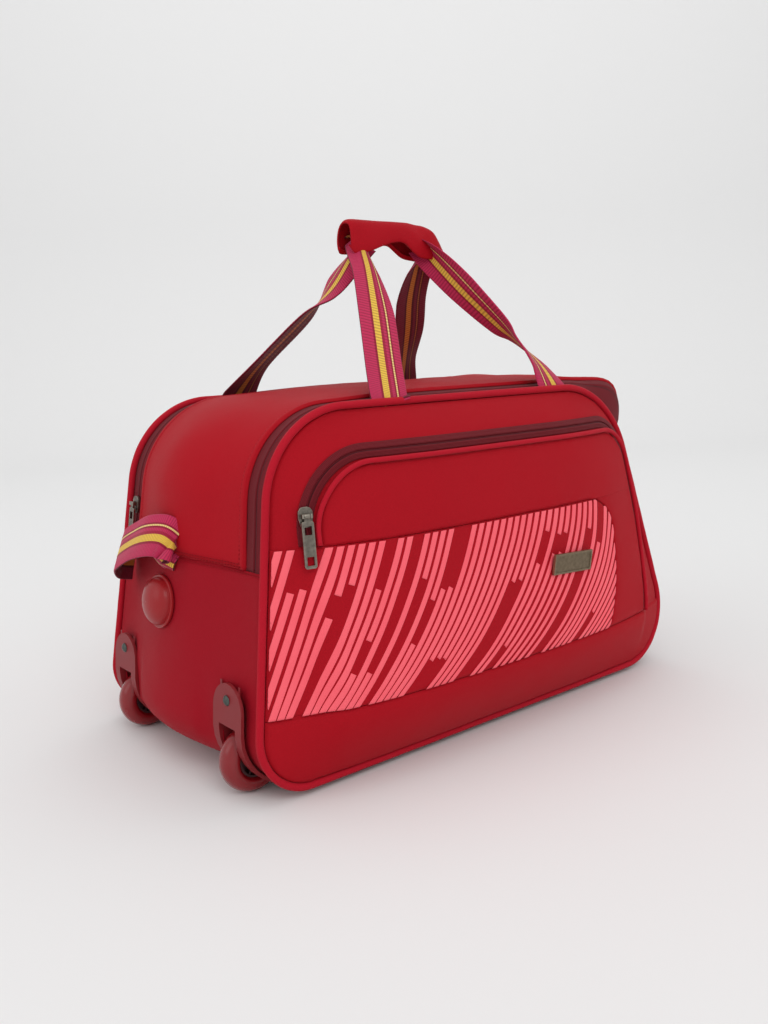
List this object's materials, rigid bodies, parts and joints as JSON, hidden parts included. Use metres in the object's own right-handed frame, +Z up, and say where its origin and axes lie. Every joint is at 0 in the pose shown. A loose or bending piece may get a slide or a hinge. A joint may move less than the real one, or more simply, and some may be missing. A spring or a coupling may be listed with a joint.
{
  "type": "rolling duffel bag",
  "caption": "Soft trapezoidal rolling duffel bag with a zipped front pocket, corner wheels in housings, a webbing carry handle with a wrap and a telescopic pull handle.",
  "frame": {"origin": "middle of the footprint of the whole bag, on the floor under it", "axes": "+X from the wheel end to the pull-handle end, -Y out of the pocket face, +Z up"},
  "size_m": [0.577, 0.3576, 0.488],
  "materials": {
    "bag_fabric": "woven polyester, matt",
    "base_fabric": "woven polyester, matt",
    "printed_fabric": "woven polyester with a raised coral print on red",
    "zip_tape": "woven zip tape, matt",
    "webbing": "ribbed webbing, slight sheen",
    "housing_plastic": "moulded, matt",
    "foot_plastic": "moulded, glossy",
    "wheel_tyre": "polyurethane, glossy",
    "hub_plastic": "moulded, dark",
    "black_plastic": "moulded, matt",
    "handle_plastic": "moulded, fine grain",
    "bronze_plate": "antique bronze, satin",
    "rivet_metal": "dark burnished",
    "gunmetal": "antique gunmetal, satin",
    "tube_aluminium": "anodised, satin",
    "steel_parts": "turned"
  },
  "bodies": {
    "bag": {"front_panel": "bag_fabric", "pocket_upper_panel": "bag_fabric", "pocket_side_panel": "bag_fabric", "stripe_panel": "printed_fabric", "bottom_band": "bag_fabric", "pocket_piping": "bag_fabric", "pocket_zip_tape": "zip_tape", "front_piping": "bag_fabric", "back_piping": "bag_fabric", "back_panel": "bag_fabric", "top_gusset": "bag_fabric", "lower_gusset": "base_fabric", "front_zip_tape": "zip_tape", "back_zip_tape": "zip_tape", "badge": "bronze_plate", "base_board": "black_plastic", "base_feet": "black_plastic", "end_foot": "foot_plastic", "front_wheel_housing": "housing_plastic", "back_wheel_housing": "housing_plastic", "housing_rivets": "rivet_metal", "front_axle": "steel_parts", "back_axle": "steel_parts", "outer_tubes": "tube_aluminium", "tube_end_blocks": "black_plastic", "pull_bezel": "handle_plastic", "front_left_strap": "webbing", "front_right_strap": "webbing", "back_left_strap": "webbing", "back_right_strap": "webbing", "grab_strap": "webbing"},
    "front_wheel": {"front_tyre": "wheel_tyre", "front_hub": "hub_plastic", "front_bushes": "steel_parts"},
    "back_wheel": {"back_tyre": "wheel_tyre", "back_hub": "hub_plastic", "back_bushes": "steel_parts"},
    "pocket_zip_slider": {"pocket_slider": "gunmetal"},
    "pocket_zip_tab": {"pocket_pull_tab": "gunmetal"},
    "back_zip_slider": {"back_slider": "gunmetal"},
    "back_zip_tab": {"back_pull_tab": "gunmetal"},
    "front_zip_slider": {"front_slider": "gunmetal"},
    "front_zip_tab": {"front_pull_tab": "gunmetal"},
    "middle_stage": {"middle_tubes": "tube_aluminium", "middle_collars": "black_plastic"},
    "grip_stage": {"inner_tubes": "tube_aluminium", "pull_grip": "handle_plastic", "release_spring": "steel_parts"},
    "button": {"release_button": "gunmetal"},
    "carry_handle": {"handle_wrap": "bag_fabric", "handle_core": "webbing"}
  },
  "joints": [
    {"name": "front_wheel_spin", "type": "hinge", "parent": "bag", "child": "front_wheel", "pos_m": [-0.252, -0.098, 0.029], "axis": [0, 1, 0], "continuous": true},
    {"name": "back_wheel_spin", "type": "hinge", "parent": "bag", "child": "back_wheel", "pos_m": [-0.252, 0.098, 0.029], "axis": [0, 1, 0], "continuous": true},
    {"name": "pocket_zip_slide", "type": "slide", "parent": "bag", "child": "pocket_zip_slider", "axis": [0.164, 0.0812, 0.9831], "range_m": [-0.01, 0.003]},
    {"name": "pocket_tab_swing", "type": "hinge", "parent": "pocket_zip_slider", "child": "pocket_zip_tab", "pos_m": [-0.21438, -0.14253, 0.23461], "axis": [-0.9659, 0.2588, 0], "range_deg": [0, 150]},
    {"name": "back_zip_slide", "type": "slide", "parent": "bag", "child": "back_zip_slider", "axis": [0.1399, -0.0757, 0.9873], "range_m": [-0.022, 0.008]},
    {"name": "back_tab_swing", "type": "hinge", "parent": "back_zip_slider", "child": "back_zip_tab", "pos_m": [-0.24718, 0.10802, 0.22265], "axis": [0.0492, 0.9988, 0], "range_deg": [0, 60]},
    {"name": "front_zip_slide", "type": "slide", "parent": "bag", "child": "front_zip_slider", "axis": [-0.2809, 0.0734, 0.9569], "range_m": [-0.01, 0.022]},
    {"name": "front_tab_swing", "type": "hinge", "parent": "front_zip_slider", "child": "front_zip_tab", "pos_m": [0.2334, -0.10846, 0.2173], "axis": [-0.0476, -0.9989, 0], "range_deg": [0, 150]},
    {"name": "middle_stage_slide", "type": "slide", "parent": "bag", "child": "middle_stage", "axis": [1, 0, 0], "range_m": [0, 0.33]},
    {"name": "grip_stage_slide", "type": "slide", "parent": "middle_stage", "child": "grip_stage", "axis": [1, 0, 0], "range_m": [0, 0.33]},
    {"name": "button_press", "type": "slide", "parent": "grip_stage", "child": "button", "axis": [0, 0, -1], "range_m": [0, 0.003], "stiffness_N_per_m": 300, "springref_m": -0.003, "deforming": ["release_spring"]},
    {"name": "carry_handle_drop", "type": "slide", "parent": "bag", "child": "carry_handle", "axis": [0, 0, -1], "range_m": [0, 0.1], "deforming": ["front_left_strap", "front_right_strap", "back_left_strap", "back_right_strap"]}
  ]
}
